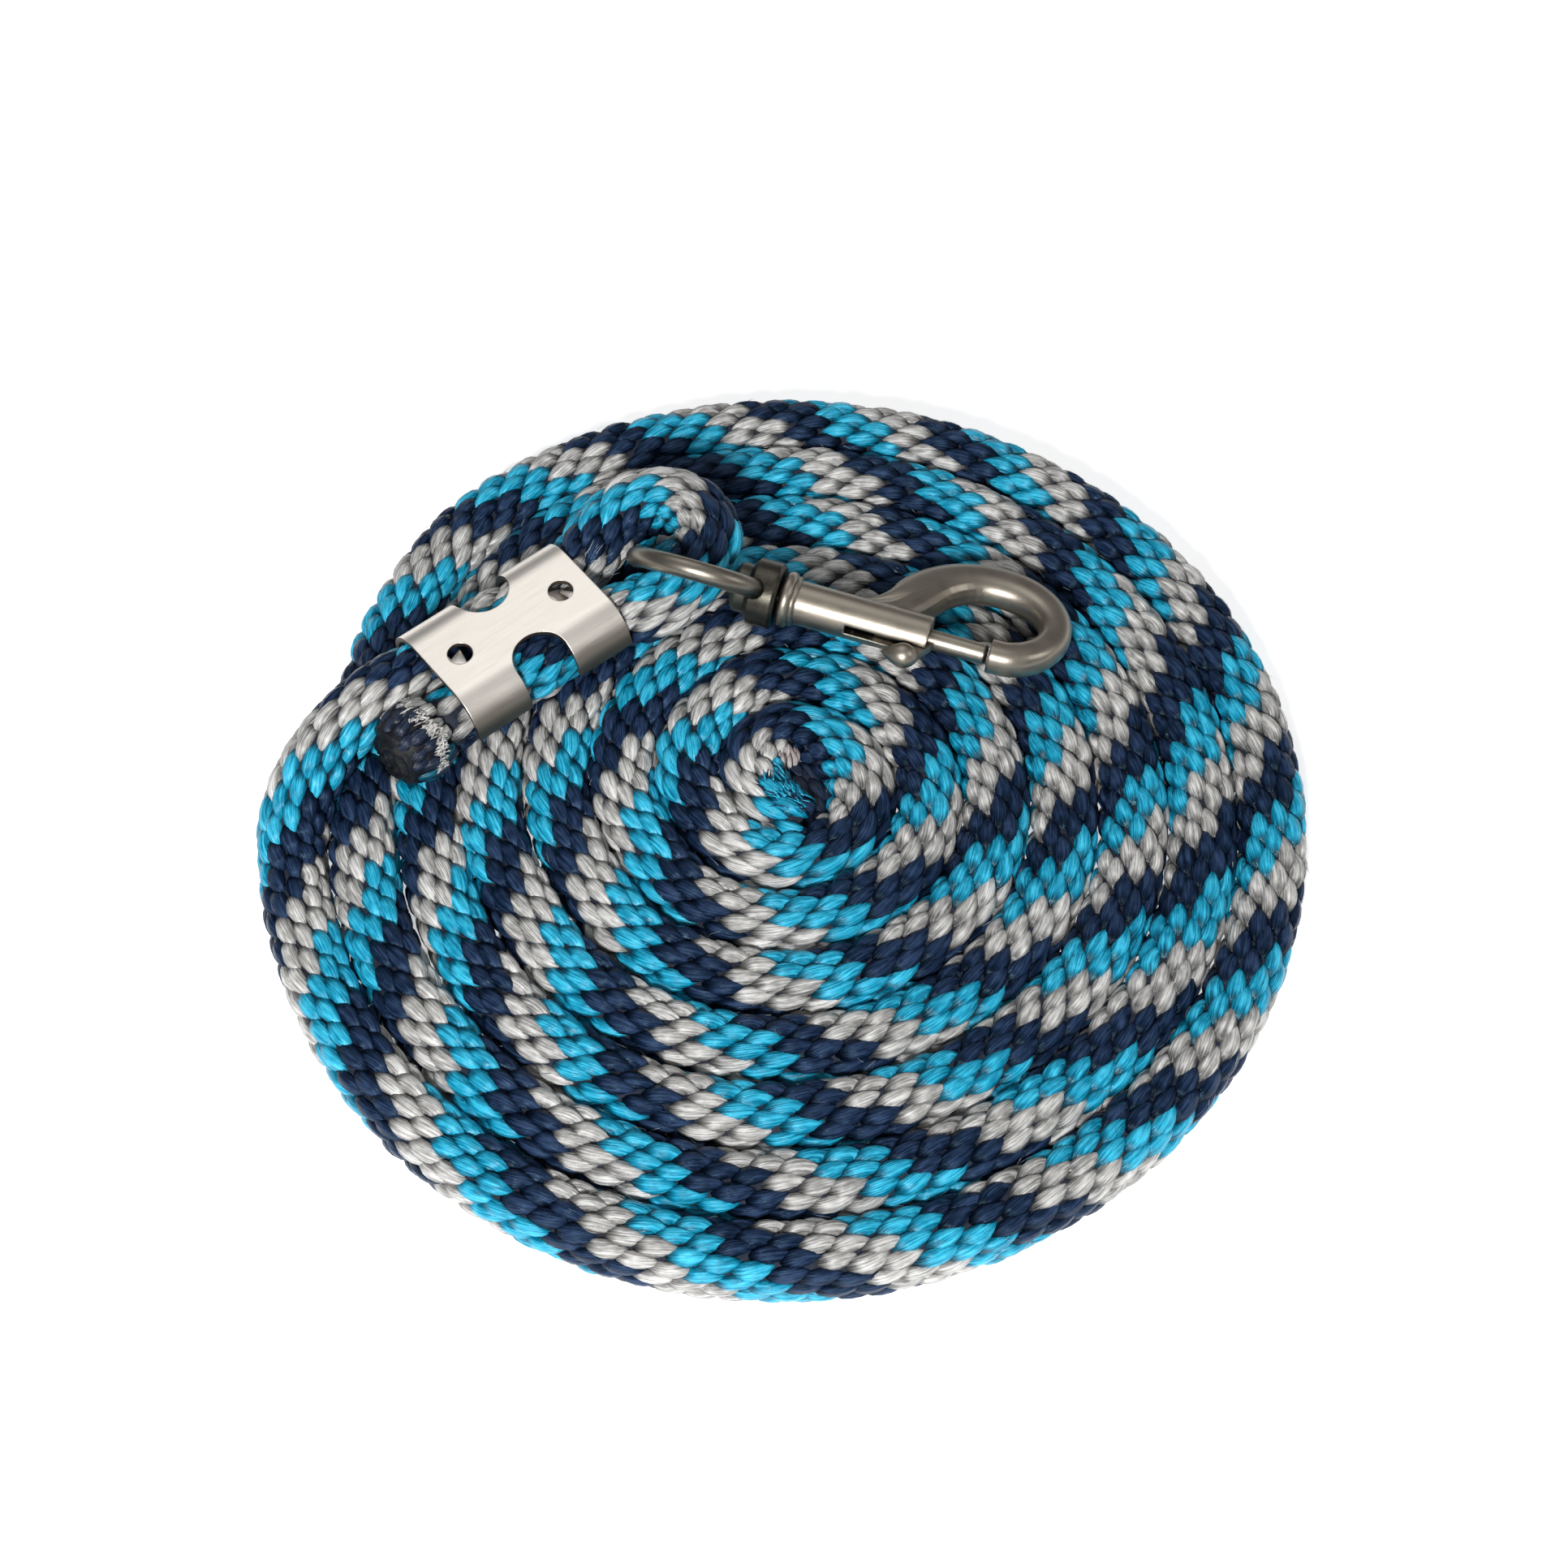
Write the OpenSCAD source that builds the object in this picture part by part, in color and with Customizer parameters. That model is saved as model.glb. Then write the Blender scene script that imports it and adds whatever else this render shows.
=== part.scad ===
// Lead rope for horses: a soft braided rope laid in a flat spiral, with its
// standing end doubled through a stamped clamp into an eye loop that carries
// a round swivel-eye bolt snap. Millimetres, +Z up, coil lying on z = 0.

/* [Rope] */
// outside diameter of the braided rope
rope_d = 16; // [15.6:0.1:16.2]
// outside diameter of the flat spiral coil
coil_d = 230; // [229:1:232]
// sides of the rope's swept tube
rope_sides = 12; // [8:1:12]
// samples between two neighbouring route points
route_steps = 3; // [2:1:3]
// radius of the melted, mushroomed tail end
tail_r = 9.2; // [8.4:0.1:9.3]

/* [Rope clamp] */
// length of the clamp along the rope
clamp_len = 41; // [39:1:42]
// thickness of the stamped sheet
clamp_t = 1.2; // [1:0.1:1.2]
// how far each tab wraps below the rope's middle, in degrees
clamp_wrap = 48; // [30:1:55]
// diameter of the two prong holes
clamp_hole_d = 5.6; // [5:0.1:6]
// distance between the two prong holes
clamp_hole_gap = 27; // [25:1:28]
// width of the half-round notches between the tabs
clamp_notch_w = 13; // [11:0.5:13]

/* [Swivel eye] */
// radius of the ring's centre line
ring_r = 14.9; // [14.5:0.1:15]
// thickness of the ring's rod
ring_rod_d = 4.6; // [4.2:0.1:4.6]
// radius of the flat boss that turns on the rivet
boss_r = 7.5; // [7:0.1:7.8]
// lean of the ring from upright, in degrees
ring_lean = 33; // [31:1:35]

/* [Bolt snap] */
// outside radius of the barrel
barrel_r = 4.95; // [4.8:0.05:5.1]
// radius of the bore that the bolt's collar runs in
bore_r = 3.2; // [3.1:0.05:3.25]
// radius of the bolt's visible rod
rod_r = 2.3; // [2.2:0.05:2.35]
// running clearance of each shaft in its hole
run_gap = 0.08; // [0.05:0.01:0.1]
// wire thickness of the spring behind the bolt
spring_wire = 0.6; // [0.5:0.05:0.6]
// number of turns of the spring
spring_turns = 5; // [4:1:6]

/* [Hidden] */
$fn = 48;

rope_r = rope_d / 2;
squeezed_r = 7.4;             // rope radius where the clamp grips it
lane = 7.5;                   // clamp middle to the middle of each rope lane

// clamp frame: middle of the clamp at the height of the rope's centre line
clamp_at = [-58.6, 32.6, 25.6];
clamp_turn = 38;
// snap frame: middle of the barrel's rear flange, x along the snap
snap_at = [2.9, 40.5, 29.8];
snap_turn = -17.8;
snap_dip = 3.7;
snap_roll = -16;

module in_clamp() translate(clamp_at) rotate([0, 0, clamp_turn]) children();
module in_snap(roll) translate(snap_at) rotate([0, 0, snap_turn])
  rotate([0, snap_dip, 0]) rotate([roll, 0, 0]) children();
// turns +Z onto the snap's own +X
module along() rotate([0, 90, 0]) children();

// ---------- small vector helpers ----------
function unit(v) = v / norm(v);
function xyz(p) = [p[0], p[1], p[2]];
function cr(a, b, c, d, t) =
  0.5 * (2 * b + (c - a) * t + (2 * a - 5 * b + 4 * c - d) * t * t
         + (3 * b - a - 3 * c + d) * t * t * t);
function through(p, n) = let (m = len(p) - 1)
  [for (i = [0 : m - 1]) for (k = [0 : n - 1])
     cr(p[max(i - 1, 0)], p[i], p[i + 1], p[min(i + 2, m)], k / n), p[m]];
function slope(q, i) =
  unit(xyz(q[min(i + 1, len(q) - 1)]) - xyz(q[max(i - 1, 0)]));
function from_clamp(q) =
  [clamp_at[0] + q[0] * cos(clamp_turn) - q[1] * sin(clamp_turn),
   clamp_at[1] + q[0] * sin(clamp_turn) + q[1] * cos(clamp_turn),
   clamp_at[2] + q[2], q[3]];

// closed skin over rings of equal size
function skin_faces(rings, n) = concat(
  [[for (j = [n - 1 : -1 : 0]) j]],
  [for (i = [0 : rings - 2]) for (j = [0 : n - 1])
     [i * n + j, i * n + (j + 1) % n,
      (i + 1) * n + (j + 1) % n, (i + 1) * n + j]],
  [[for (j = [0 : n - 1]) (rings - 1) * n + j]]);

// ---------- rope ----------
// route of the rope where it isn't coiled: x, y, z, radius
climb = [[-103, -28, 8.3, 8], [-105.5, -17, 9, 8], [-106.4, -9, 12.2, 8],
         [-104.2, -0.5, 17.2, 8], [-99.6, 7.4, 21.6, 8],
         [-93.4, 14.2, 24.6, 8], [-86.5, 20.2, 25.6, 7.8]];
// the rest in the clamp's own frame: along, across, up, radius
lanes = [[-20, lane, 0, squeezed_r], [0, lane, 0, squeezed_r],
         [20, lane, 0, squeezed_r],
         [27, 9.3, 1.4, 7.8], [34, 11.2, 3.2, 8], [41, 11.6, 4.7, 8],
         [47.2, 8.9, 5.5, 8], [51, 3.9, 5.6, 8], [51.6, -2.3, 5.4, 8],
         [49, -7.8, 4.8, 8], [44.2, -11.2, 4, 8], [38.7, -12.4, 3, 8],
         [32.6, -12.2, 1.8, 8], [26.4, -10, 0.7, 7.8],
         [20, -lane, 0, squeezed_r], [0, -lane, 0, squeezed_r],
         [-20, -lane, 0, squeezed_r], [-27, -lane, 0, 8]];
route = concat(climb, [for (q = lanes) from_clamp(q)]);

module swept_rope(route_pts, n, steps) {
  q = through(route_pts, steps);
  pts = [for (i = [0 : len(q) - 1])
           let (t = slope(q, i), s = unit(cross(t, [0, 0, 1])),
                u = cross(s, t))
           for (j = [0 : n - 1])
             xyz(q[i]) + q[i][3] * (cos(360 * j / n) * s
                                    + sin(360 * j / n) * u)];
  polyhedron(pts, skin_faces(len(q), n), convexity = 8);
}

// flat spiral as one body of its outer shape, with a pocket for the inner end
module rope_coil() color("steelblue") difference() {
  rotate_extrude($fn = 96) {
    square([coil_d / 2 - rope_r, rope_d]);
    intersection() {
      translate([coil_d / 2 - rope_r, rope_r]) circle(rope_r);
      square([coil_d, rope_d]);
    }
  }
  translate([1.5, 9, 12]) cylinder(r = 7.4, h = 6);
}

module rope_run() color("deepskyblue")
  swept_rope(route, rope_sides, route_steps);

// melted end of the tail: swells like a mushroom past the cut
module rope_tail_seal() color("midnightblue")
  in_clamp() translate([-27, -lane, 0]) rotate([0, -90, 0])
    rotate_extrude() polygon([
      [0, 0], [7.9, 0], [8.6, 1.6],
      for (a = [-30 : 10 : 70]) [tail_r * cos(a), 6 + tail_r * sin(a)],
      [1.6, 13.6], [0, 13.2]]);

// sealed inner end of the rope, in the middle of the coil
module rope_inner_seal() color("rosybrown")
  translate([1.5, 9, 12]) {
    cylinder(r = 7.2, h = 3);
    translate([0, 0, 3]) cylinder(r1 = 7.2, r2 = 6, h = 1);
  }

// ---------- clamp ----------
// section across the two lanes, in the y-z plane
module clamp_shell(r) {
  for (s = [-1, 1]) translate([s * lane, 0]) circle(r);
  translate([-lane, 0]) square([2 * lane, r]);
}
module prong() {
  // triangle left standing in the hole and bent down between the lanes
  translate([-clamp_hole_d / 2 - 0.6, 0, 7.6]) rotate([0, 14, 0])
    rotate([90, 0, 90]) linear_extrude(0.9)
      polygon([[-1.7, 0.9], [1.7, 0.9], [1.5, 0], [0, -4.4], [-1.5, 0]]);
}
module rope_clamp() color("gainsboro") in_clamp() {
  difference() {
    rotate([90, 0, 90]) translate([0, 0, -clamp_len / 2])
      linear_extrude(clamp_len) difference() {
        clamp_shell(squeezed_r + 0.1 + clamp_t);
        clamp_shell(squeezed_r + 0.1);
        translate([-lane, -30]) square([2 * lane, 30]);
        for (s = [-1, 1]) translate([s * lane, 0])
          rotate(s > 0 ? 0 : 180) mirror([0, s > 0 ? 0 : 1])
            polygon([[0, 0], [30 * cos(clamp_wrap), -30 * sin(clamp_wrap)],
                     [30, -60], [-30, -60], [-30, 0]]);
      }
    for (s = [-1, 1]) {
      translate([s * clamp_hole_gap / 2, 0, 0])
        cylinder(d = clamp_hole_d, h = 20);
      translate([0, s * 11.8, -20]) cylinder(d = clamp_notch_w, h = 40);
      translate([-clamp_notch_w / 2, s > 0 ? 11.8 : -31.8, -20])
        cube([clamp_notch_w, 20, 40]);
    }
  }
  for (s = [-1, 1]) translate([s * clamp_hole_gap / 2, 0, 0]) prong();
}

// ---------- swivel eye ----------
eye_x = -21.1;                // ring's middle, along the snap
boss_x0 = -9.4;
boss_x1 = -2.8;
module swivel_eye() color("dimgray") in_snap(ring_lean) difference() {
  union() {
    translate([eye_x, 0, 0]) rotate([90, 0, 0])
      rotate_extrude($fn = 72) translate([ring_r, 0]) circle(d = ring_rod_d);
    translate([boss_x0, 0, 0]) along() {
      cylinder(r1 = boss_r - 0.8, r2 = boss_r, h = 0.8);
      translate([0, 0, 0.8]) cylinder(r = boss_r, h = boss_x1 - boss_x0 - 1.6);
      translate([0, 0, boss_x1 - boss_x0 - 0.8])
        cylinder(r1 = boss_r, r2 = boss_r - 0.8, h = 0.8);
    }
  }
  translate([-17, 0, 0]) along() cylinder(r = 6.1, h = 17 + boss_x0);
  translate([-20, 0, 0]) along() cylinder(r = 2.5 + run_gap, h = 20);
}

// rivet: domed head inside the ring, shank through the boss, plug in the barrel
module swivel_rivet() color("slategray") in_snap(0) {
  translate([boss_x0 - 0.2, 0, 0]) rotate([0, -90, 0])
    rotate_extrude() polygon([
      [0, 0], [5.5, 0], for (a = [0 : 15 : 90])
        [3.9 + 1.7 * cos(a), 2 + 1.7 * sin(a)], [0, 3.7]]);
  translate([boss_x0 - 0.4, 0, 0]) along() cylinder(r = 2.5, h = 8);
  translate([-2.4, 0, 0]) along() cylinder(r = bore_r, h = 4);
}

// ---------- snap body ----------
// hook's centre line in the snap's plane: x, y, half width, half thickness
hook = [[45.3, 0, 3.5, 3.5], [48.8, 0.2, 3.5, 3.5], [52.6, 1.9, 3.5, 3.5],
        [55.9, 5.4, 3.4, 3.5], [57.7, 10.6, 3.4, 3.5], [57, 16, 3.6, 3.6],
        [53.9, 20.6, 4, 3.6], [49.2, 23.5, 4.4, 3.7], [43.8, 24.4, 4.6, 3.7],
        [38.4, 23.6, 4.6, 3.7], [33.6, 20.9, 4.5, 3.8], [30, 16.9, 4.3, 3.9],
        [27.5, 12.2, 4.2, 4], [25.2, 7.5, 4.2, 4.2], [22.6, 3.4, 4.2, 4.4],
        [19, 1, 4.1, 4.5]];
function flat3(p) = [p[0], p[1], 0];
function flat_slope(q, i) =
  unit(flat3(q[min(i + 1, len(q) - 1)]) - flat3(q[max(i - 1, 0)]));
module swept_hook(n, steps) {
  q = through(hook, steps);
  pts = [for (i = [0 : len(q) - 1])
           let (t = i == 0 ? [1, 0, 0] : flat_slope(q, i),
                s = cross(t, [0, 0, 1]))
           for (j = [0 : n - 1])
             let (a = 360 * (j + 0.5) / n, c = cos(a), d = sin(a))
             flat3(q[i]) + q[i][2] * sign(c) * pow(abs(c), 0.85) * s
                         + [0, 0, q[i][3] * sign(d) * pow(abs(d), 0.85)]];
  polyhedron(pts, skin_faces(len(q), n), convexity = 8);
}
barrel_x0 = -2.4;
barrel_x1 = 31.6;
slot_x = 13.3;
module snap_body() color("darkgray") in_snap(snap_roll) difference() {
  union() {
    swept_hook(16, 2);
    translate([barrel_x0, 0, 0]) along()
      cylinder(r = barrel_r, h = barrel_x1 - barrel_x0);
    // rear flange: a rounded bead and a thin step
    translate([barrel_x0, 0, 0]) along() rotate_extrude() polygon([
      [0, 0], [5.2, 0], for (a = [-75 : 15 : 75])
        [4.9 + 1.45 * cos(a), 1.45 + 1.45 * sin(a)],
      [5.6, 2.9], [5.7, 3.2], [5.2, 3.8], [0, 3.8]]);
  }
  translate([-10, 0, 0]) along() cylinder(r = bore_r, h = 38);
  translate([20, 0, 0]) along() cylinder(r = rod_r + run_gap, h = 14);
  // slot for the thumb knob's stem, open at the barrel's front
  translate([slot_x, -8, -1.1]) cube([22, 8, 2.2]);
}

// ---------- bolt ----------
module snap_bolt() color("silver") in_snap(snap_roll) {
  translate([19.8, 0, 0]) along() cylinder(r = bore_r - run_gap, h = 8);
  translate([27, 0, 0]) along() cylinder(r = rod_r, h = 17.2);
  translate([44.2, 0, 0]) along() cylinder(r1 = rod_r, r2 = rod_r - 0.5, h = 0.6);
  // stem through the slot
  translate([0, 0, -0.9]) linear_extrude(1.8)
    polygon([[28.8, -1], [33.4, -1], [32.6, -3.6], [31, -6.6], [29.6, -8.7],
             [26, -7.8], [28.4, -5.6]]);
  // thumb knob: a drop lying along the barrel
  translate([22.6, -8.6, 0]) rotate([0, 90, 7]) rotate_extrude() polygon([
    for (k = [0 : 14]) let (t = k / 14)
      [k == 0 || k == 14 ? 0 : 2.8 * pow(sin(180 * pow(t, 1.3)), 0.72),
       8.6 * t]]);
}

// ---------- spring ----------
spring_x0 = 1.8;
spring_x1 = 19.6;
module bolt_spring() color("lightsteelblue") in_snap(snap_roll) {
  n = 8;
  m = spring_turns * 12;
  r = 2.2;
  run = spring_x1 - spring_x0 - spring_wire;
  pts = [for (i = [0 : m]) let (a = 360 * spring_turns * i / m,
            x = spring_x0 + spring_wire / 2 + run * i / m)
         for (j = [0 : n - 1]) let (b = 360 * j / n,
            rr = r + spring_wire / 2 * cos(b))
         [x + spring_wire / 2 * sin(b), rr * cos(a), rr * sin(a)]];
  polyhedron(pts, skin_faces(m + 1, n), convexity = 12);
}

rope_coil();
rope_run();
rope_tail_seal();
rope_inner_seal();
rope_clamp();
swivel_eye();
swivel_rivet();
snap_body();
snap_bolt();
bolt_spring();
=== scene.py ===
import math

import bpy
import numpy as np
from mathutils import Matrix, Vector


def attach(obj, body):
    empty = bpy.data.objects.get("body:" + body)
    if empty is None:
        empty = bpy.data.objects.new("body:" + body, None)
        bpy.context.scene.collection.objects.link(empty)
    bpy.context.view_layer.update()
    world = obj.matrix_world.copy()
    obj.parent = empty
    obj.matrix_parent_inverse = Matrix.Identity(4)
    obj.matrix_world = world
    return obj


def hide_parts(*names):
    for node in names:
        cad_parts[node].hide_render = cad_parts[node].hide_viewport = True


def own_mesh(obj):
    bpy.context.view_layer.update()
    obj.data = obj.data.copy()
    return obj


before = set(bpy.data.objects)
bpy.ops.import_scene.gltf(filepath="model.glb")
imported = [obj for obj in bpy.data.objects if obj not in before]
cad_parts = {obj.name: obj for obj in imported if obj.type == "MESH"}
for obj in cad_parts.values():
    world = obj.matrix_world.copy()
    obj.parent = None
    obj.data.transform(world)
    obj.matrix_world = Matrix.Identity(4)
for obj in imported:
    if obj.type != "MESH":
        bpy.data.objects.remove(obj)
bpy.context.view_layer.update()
scene = bpy.context.scene
MM = 0.001
rng = np.random.default_rng(41)

# ---------------------------------------------------------------- camera
def unit(v):
    v = np.asarray(v, float)
    return v / np.linalg.norm(v)


def make_camera():
    e, roll = math.radians(56.88), math.radians(-0.96)
    target = np.array([0.5, 6.28, 8.0]) * MM
    back = np.array([0.0, -math.cos(e), math.sin(e)])
    pos = target + back * 0.600
    right = np.array([1.0, 0.0, 0.0])
    up = np.cross(right, -back)
    r = math.cos(roll) * right + math.sin(roll) * up
    u = -math.sin(roll) * right + math.cos(roll) * up
    data = bpy.data.cameras.new("Camera")
    cam = bpy.data.objects.new("Camera", data)
    scene.collection.objects.link(cam)
    data.sensor_width = 36.0
    data.lens = 36.0 * 3342 / 1932
    data.clip_start, data.clip_end = 0.01, 20
    m = Matrix.Identity(4)
    for i in range(3):
        m[i][0], m[i][1], m[i][2], m[i][3] = r[i], u[i], back[i], pos[i]
    cam.matrix_world = m
    scene.camera = cam


make_camera()

# ---------------------------------------------------------------- frames of the hardware
CLAMP_AT = np.array([-58.6, 32.6, 25.6])
CLAMP_TURN = math.radians(38)
CU = np.array([math.cos(CLAMP_TURN), math.sin(CLAMP_TURN), 0.0])
CV = np.array([-math.sin(CLAMP_TURN), math.cos(CLAMP_TURN), 0.0])
CW = np.array([0.0, 0.0, 1.0])


def from_clamp(u, v, w):
    return CLAMP_AT + u * CU + v * CV + w * CW


def rot(axis, deg):
    return np.array(Matrix.Rotation(math.radians(deg), 3, axis))


SNAP_AT = np.array([2.9, 40.5, 29.8])
SNAP_R0 = rot("Z", -17.8) @ rot("Y", 3.7)


def in_snap(roll):
    return SNAP_R0 @ rot("X", roll)


# ---------------------------------------------------------------- the rope's route
# turns of the flat spiral: t counts turns inward from where the rope climbs
TURN_GAP = 14.75
JOGS = [(0.890, 0.065), (0.885, 0.09)] + [(0.875, 0.142)] * 5


def inward(t):
    g = 0.0
    for k, (c, h) in enumerate(JOGS):
        g += min(1.0, max(0.0, (t - (k + c - h)) / (2 * h)))
    return g


def spiral_point(t):
    a = math.radians(165 - 360 * t)
    r = 106.9 - 1.19 * min(1.0, max(0.0, (t - 0.6) / 3.4)) - TURN_GAP * inward(t)
    w = t / 7
    return [r * math.cos(a) + 0.71 * w, -r * math.sin(a) + 1.85 * w, 8.0]


T_END = 6.70
inner = [[5.2, -6.2, 7.2], [1.6, -4.4, 7.6], [-2.2, -1.2, 8], [-5.4, 3.0, 8],
         [-7.0, 7.4, 8], [-6.6, 12.0, 8], [-3.9, 16.2, 8]]
climb = [[-105.5, -17, 9], [-106.4, -9, 12.2], [-104.2, -0.5, 17.2],
         [-99.6, 7.4, 21.6], [-93.4, 14.2, 24.6], [-86.5, 20.2, 25.6]]
LANE = 7.5
lanes = [[-20, LANE, 0], [0, LANE, 0], [20, LANE, 0], [27, 9.3, 1.4],
         [34, 11.2, 3.2], [41, 11.6, 4.7], [47.2, 8.9, 5.5], [51, 3.9, 5.6],
         [51.6, -2.3, 5.4], [49, -7.8, 4.8], [44.2, -11.2, 4], [38.7, -12.4, 3],
         [32.6, -12.2, 1.8], [26.4, -10, 0.7], [20, -LANE, 0], [0, -LANE, 0],
         [-20, -LANE, 0], [-27, -LANE, 0]]


def through(p, steps):
    p = np.asarray(p, float)
    out = []
    m = len(p) - 1
    for i in range(m):
        a, b, c, d = p[max(i - 1, 0)], p[i], p[i + 1], p[min(i + 2, m)]
        for k in range(steps):
            t = k / steps
            out.append(0.5 * (2 * b + (c - a) * t + (2 * a - 5 * b + 4 * c - d) * t * t
                              + (3 * b - a - 3 * c + d) * t ** 3))
    out.append(p[-1])
    return np.array(out)


ts = np.linspace(T_END, 0.0, int(T_END * 30) + 1)
control = inner + [spiral_point(t) for t in ts] + climb + [list(from_clamp(*q)) for q in lanes]
fine = through(control, 8)
step = np.linalg.norm(np.diff(fine, axis=0), axis=1)
arc = np.concatenate([[0], np.cumsum(step)])
ROPE_LEN = arc[-1]
SN = int(ROPE_LEN) + 1
S = np.linspace(0, ROPE_LEN, SN)
C = np.stack([np.interp(S, arc, fine[:, i]) for i in range(3)], -1)
# light smoothing keeps the jogs soft
for _ in range(12):
    C[1:-1] = 0.25 * C[:-2] + 0.5 * C[1:-1] + 0.25 * C[2:]
T = np.gradient(C, axis=0)
T /= np.linalg.norm(T, axis=1)[:, None]
LEFT = np.cross(np.array([0, 0, 1.0]), T)
LEFT /= np.linalg.norm(LEFT, axis=1)[:, None]
UP = np.cross(T, LEFT)
spiral_len = float(np.interp(len(inner) + len(ts) - 1, np.arange(len(fine)) / 8, arc))
u_pos = (C - CLAMP_AT) @ CU
v_pos = (C - CLAMP_AT) @ CV
on_run = np.clip((S - spiral_len) / 40, 0, 1)
squeeze = np.where((S > spiral_len + 30) & (np.abs(u_pos) < 27),
                   np.clip((27 - np.abs(u_pos)) / 7, 0, 1), 0)
HALF_W = 7.75 + 0.15 * on_run - 1.05 * squeeze    # half width of the rope, mm
HALF_H = 7.9 - 1.05 * squeeze                     # half height
FLAT = 1.0 - on_run                               # 1 where neighbours press it squarish
end_in = np.clip(S / 14, 0, 1)
HALF_W = HALF_W * (0.86 + 0.14 * end_in)


class Strand:
    """A centreline with its two side directions and the half sizes of its section."""
    def __init__(self, s, c, left, up, half_w, half_h, flat=None):
        self.s, self.c, self.left, self.up, self.half_w, self.half_h = s, c, left, up, half_w, half_h
        self.flat = np.zeros(len(s)) if flat is None else flat


ROPE = Strand(S, C, LEFT, UP, HALF_W, HALF_H, FLAT)


def strand_along(points, half_w, half_h):
    """Short strand through a few points, with its half sizes at those points."""
    q = through(points, 12)
    arc_q = np.concatenate([[0], np.cumsum(np.linalg.norm(np.diff(q, axis=0), axis=1))])
    tan = np.gradient(q, axis=0)
    tan /= np.linalg.norm(tan, axis=1)[:, None]
    left = np.cross(np.array([0, 0, 1.0]), tan)
    left /= np.linalg.norm(left, axis=1)[:, None]
    at = np.linspace(0, 1, len(points))
    here = np.linspace(0, 1, len(q))
    return Strand(arc_q, q, left, np.cross(tan, left), np.interp(here, at, half_w),
                  np.interp(here, at, half_h))


def place(s, phi, rho, strand=ROPE):
    """Point of the rope: s along it, phi round it (degrees from its top towards
    the outside of the coil), rho 1 at its surface."""
    c = np.stack([np.interp(s, strand.s, strand.c[:, i]) for i in range(3)], -1)
    left = np.stack([np.interp(s, strand.s, strand.left[:, i]) for i in range(3)], -1)
    up = np.stack([np.interp(s, strand.s, strand.up[:, i]) for i in range(3)], -1)
    w, h = np.interp(s, strand.s, strand.half_w), np.interp(s, strand.s, strand.half_h)
    p = np.radians(phi)
    q = 2.0 + 0.65 * np.interp(s, strand.s, strand.flat)
    rho = rho * (np.abs(np.sin(p)) ** q + np.abs(np.cos(p)) ** q) ** (-1 / q)
    return (c + (rho * w * np.sin(p))[..., None] * left
            + (rho * h * np.cos(p))[..., None] * up)


# ---------------------------------------------------------------- mesh helper
def mesh_object(name, verts, faces, smooth=True, attrs=None):
    me = bpy.data.meshes.new(name)
    verts = np.asarray(verts, float) * MM
    faces = [np.asarray(f, np.int32) for f in faces]
    me.vertices.add(len(verts))
    me.vertices.foreach_set("co", verts.astype(np.float32).ravel())
    total = np.array([f.shape[1] for f in faces for _ in range(len(f))], np.int32)
    loops = np.concatenate([f.ravel() for f in faces])
    start = np.concatenate([[0], np.cumsum(total)[:-1]]).astype(np.int32)
    me.loops.add(len(loops))
    me.loops.foreach_set("vertex_index", loops)
    me.polygons.add(len(total))
    me.polygons.foreach_set("loop_start", start)
    me.polygons.foreach_set("loop_total", total)
    me.polygons.foreach_set("use_smooth", np.full(len(total), smooth))
    for key, value in (attrs or {}).items():
        a = me.attributes.new(key, "FLOAT_VECTOR", "POINT")
        a.data.foreach_set("vector", np.asarray(value, np.float32).ravel())
    me.update(calc_edges=True)
    me.validate()
    o = bpy.data.objects.new(name, me)
    scene.collection.objects.link(o)
    return o


# ---------------------------------------------------------------- stitches
ROWS = 12
PITCH = 6.3
DRIFT = 1.198           # degrees that a row turns round the rope for each mm
STITCH_L, STITCH_W = 10.4, 4.95
TILT = math.radians(11)
RINGS, SIDES = 9, 8
# extra twist of the rope, in stitches, every 120 mm from its inner end
TWIST_EVERY = 120.0
TWIST = [2.52, 5.11, 7.05, 7.95, 8.75, 10.17, 12.28, 14.58, 17.03, 19.57, 22.3, 25.43,
         28.22, 30.13, 30.59, 29.48, 29.44, 30.75, 32.83, 35.63, 37.96, 38.83, 37.31,
         33.83, 34.33]
twist_fine = np.interp(S, TWIST_EVERY * np.arange(len(TWIST)), TWIST)
pad = np.pad(twist_fine, 40, mode="edge")
twist_fine = np.convolve(pad, np.ones(81) / 81, mode="valid")


def turned(s):
    return DRIFT * s + 30.0 * np.interp(s, S, twist_fine)


def stitches(first, last, turn):
    rows = []
    for j in range(ROWS):
        s = PITCH * (np.arange(int(last / PITCH) + 1) + 0.5 * (j % 2)) + 2.0
        s = s[(s < last - 2.5) & (s > first)]
        phi = (30.0 * j - turn(s) + 180) % 360 - 180
        y = s / PITCH + (phi + turn(s)) / 30.0
        rows.append(np.stack([s, phi, y], -1))
    return np.concatenate(rows)


def bulge(s, phi):
    """The rope swells out through the clamp's notches."""
    u = np.interp(s, S, u_pos)
    held = np.interp(s, S, squeeze)
    side = np.clip(np.cos(np.radians(phi - 80)), 0, 1)
    return np.where((held > 0.5) & (np.abs(u) < 5.8), 1.5 * np.cos(np.pi * u / 11.6) ** 2 * side ** 1.5, 0.0)


ST = stitches(0, ROPE_LEN, turned)
ST_N = len(ST)
colour = np.floor((ST[:, 2] + 0.25) / 3).astype(int) % 3   # navy, cyan, grey


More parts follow.
